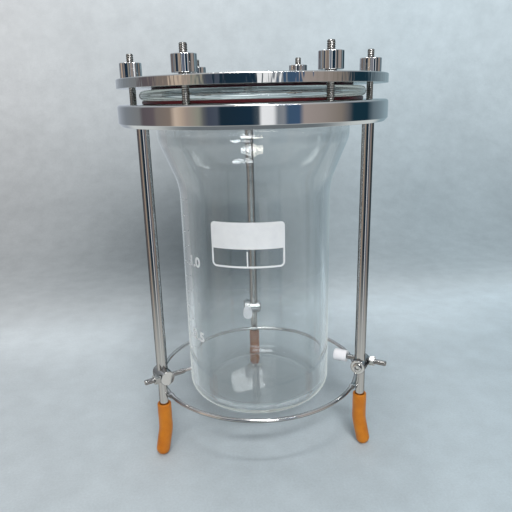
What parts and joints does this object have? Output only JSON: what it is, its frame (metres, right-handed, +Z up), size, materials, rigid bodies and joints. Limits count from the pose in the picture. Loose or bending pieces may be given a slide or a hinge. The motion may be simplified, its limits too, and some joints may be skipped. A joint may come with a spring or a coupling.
{
  "type": "bench bioreactor vessel",
  "caption": "Clear glass bioreactor vessel with a flared neck, clamped between polished steel rings on a tripod stand with rubber feet, a base ring and side stays.",
  "frame": {"origin": "on the floor under the vessel's axis", "axes": "+Z up along the vessel's axis, -Y the front, between two legs, where the label's place is; the third leg stands at +Y"},
  "size_m": [0.1932, 0.1969, 0.2964],
  "materials": {
    "glass": "clear, fire polished",
    "polished_steel": "polished",
    "satin_steel": "satin",
    "seal_rubber": "dark red silicone, satin",
    "foot_rubber": "amber orange rubber, dull",
    "white_plastic": "smooth, matt"
  },
  "bodies": {
    "stand": {"glass_vessel": "glass", "flange_gasket": "seal_rubber", "head_seal": "seal_rubber", "support_ring": "polished_steel", "clamp_ring": "polished_steel", "stud_1": "satin_steel", "stud_2": "satin_steel", "stud_3": "satin_steel", "stud_4": "satin_steel", "stud_5": "satin_steel", "stud_6": "satin_steel", "base_ring": "satin_steel", "leg_right": "satin_steel", "leg_back": "satin_steel", "leg_left": "satin_steel", "foot_sleeve_right": "foot_rubber", "foot_sleeve_back": "foot_rubber", "foot_sleeve_left": "foot_rubber"},
    "nut_a": {"nut_1": "polished_steel"},
    "nut_b": {"nut_2": "polished_steel"},
    "nut_c": {"nut_3": "polished_steel"},
    "nut_d": {"nut_4": "polished_steel"},
    "nut_e": {"nut_5": "polished_steel"},
    "nut_f": {"nut_6": "polished_steel"},
    "clamp_right": {"clamp_body_right": "satin_steel", "clamp_screw_right": "satin_steel", "pin_locknut_right": "polished_steel"},
    "clamp_back": {"clamp_body_back": "satin_steel", "clamp_screw_back": "satin_steel", "pin_locknut_back": "polished_steel"},
    "clamp_left": {"clamp_body_left": "satin_steel", "clamp_screw_left": "satin_steel", "pin_locknut_left": "polished_steel"},
    "pin_right": {"stay_pin_right": "satin_steel", "pin_tip_right": "white_plastic"},
    "pin_back": {"stay_pin_back": "satin_steel", "pin_tip_back": "white_plastic"},
    "pin_left": {"stay_pin_left": "satin_steel"}
  },
  "joints": [
    {"name": "nut_1_turn", "type": "hinge", "parent": "stand", "child": "nut_a", "pos_m": [0.0864, 0, 0.285], "axis": [0, 0, 1], "continuous": true},
    {"name": "nut_2_turn", "type": "hinge", "parent": "stand", "child": "nut_b", "pos_m": [0.0432, 0.07482, 0.285], "axis": [0, 0, 1], "continuous": true},
    {"name": "nut_3_turn", "type": "hinge", "parent": "stand", "child": "nut_c", "pos_m": [-0.0432, 0.07482, 0.285], "axis": [0, 0, 1], "continuous": true},
    {"name": "nut_4_turn", "type": "hinge", "parent": "stand", "child": "nut_d", "pos_m": [-0.0864, 0, 0.285], "axis": [0, 0, 1], "continuous": true},
    {"name": "nut_5_turn", "type": "hinge", "parent": "stand", "child": "nut_e", "pos_m": [-0.0432, -0.07482, 0.285], "axis": [0, 0, 1], "continuous": true},
    {"name": "nut_6_turn", "type": "hinge", "parent": "stand", "child": "nut_f", "pos_m": [0.0432, -0.07482, 0.285], "axis": [0, 0, 1], "continuous": true},
    {"name": "clamp_right_slide", "type": "slide", "parent": "stand", "child": "clamp_right", "axis": [0, 0, 1], "range_m": [-0.011, 0.11]},
    {"name": "clamp_back_slide", "type": "slide", "parent": "stand", "child": "clamp_back", "axis": [0, 0, 1], "range_m": [-0.011, 0.11]},
    {"name": "clamp_left_slide", "type": "slide", "parent": "stand", "child": "clamp_left", "axis": [0, 0, 1], "range_m": [-0.011, 0.11]},
    {"name": "pin_right_screw", "type": "slide", "parent": "clamp_right", "child": "pin_right", "axis": [-0.866, 0.5, 0], "range_m": [-0.006, 0.0065]},
    {"name": "pin_back_screw", "type": "slide", "parent": "clamp_back", "child": "pin_back", "axis": [0, -1, 0], "range_m": [-0.006, 0.0065]},
    {"name": "pin_left_screw", "type": "slide", "parent": "clamp_left", "child": "pin_left", "axis": [0.866, 0.5, 0], "range_m": [-0.009, 0.0085]}
  ]
}
